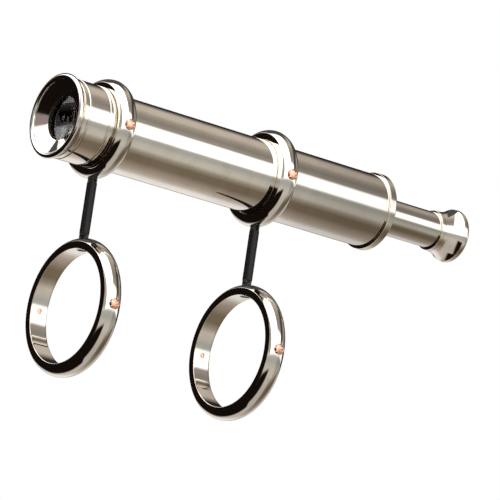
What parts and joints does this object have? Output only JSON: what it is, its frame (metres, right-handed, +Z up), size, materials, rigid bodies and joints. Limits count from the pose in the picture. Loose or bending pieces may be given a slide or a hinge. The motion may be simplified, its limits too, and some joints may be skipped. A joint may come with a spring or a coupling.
{
  "type": "optical finder telescope",
  "caption": "Small plated finder telescope with dished objective bezel and sliding flared eyepiece, held by rings on slim posts above a second pair of rings for a larger tube.",
  "frame": {"origin": "centre of the front host ring's bore, on the axis of the larger tube that carries the finder", "axes": "+X along the host tube and the optical axis, toward the eyepiece; +Z up from the host tube to the finder; +Y to the right when looking through it"},
  "size_m": [0.258, 0.0716, 0.1498],
  "materials": {
    "nickel_plate": "polished",
    "black_steel": "gloss",
    "screw_brass": "polished",
    "inner_brass": "satin",
    "black_inside": "matte",
    "lens_glass": "clear",
    "hair_wire": "satin",
    "green_felt": "matte"
  },
  "bodies": {
    "root": {"front_bezel": "nickel_plate", "objective_cell": "nickel_plate", "crown_lens": "lens_glass", "lens_spacer": "black_inside", "flint_lens": "lens_glass", "main_barrel": "nickel_plate", "front_glare_stop": "black_inside", "rear_glare_stop": "black_inside", "rear_end_ring": "nickel_plate", "draw_guide_bush": "inner_brass", "felt_lining": "green_felt", "front_barrel_ring": "nickel_plate", "rear_barrel_ring": "nickel_plate", "front_post": "black_steel", "rear_post": "black_steel", "front_host_ring": "nickel_plate", "rear_host_ring": "nickel_plate", "barrel_ring_screws": "screw_brass", "host_ring_screws": "screw_brass"},
    "draw": {"draw_tube": "nickel_plate", "draw_stop_ring": "inner_brass", "reticle_ring": "black_inside", "crosshair_wires": "hair_wire", "eyepiece_sleeve": "black_inside", "field_lens": "lens_glass", "field_lens_retainer": "black_inside", "eye_lens": "lens_glass", "eye_lens_retainer": "black_inside", "eyepiece_shell": "nickel_plate"}
  },
  "joints": [
    {"name": "draw_focus", "type": "slide", "parent": "root", "child": "draw", "axis": [1, 0, 0], "range_m": [-0.034, 0.022]}
  ]
}
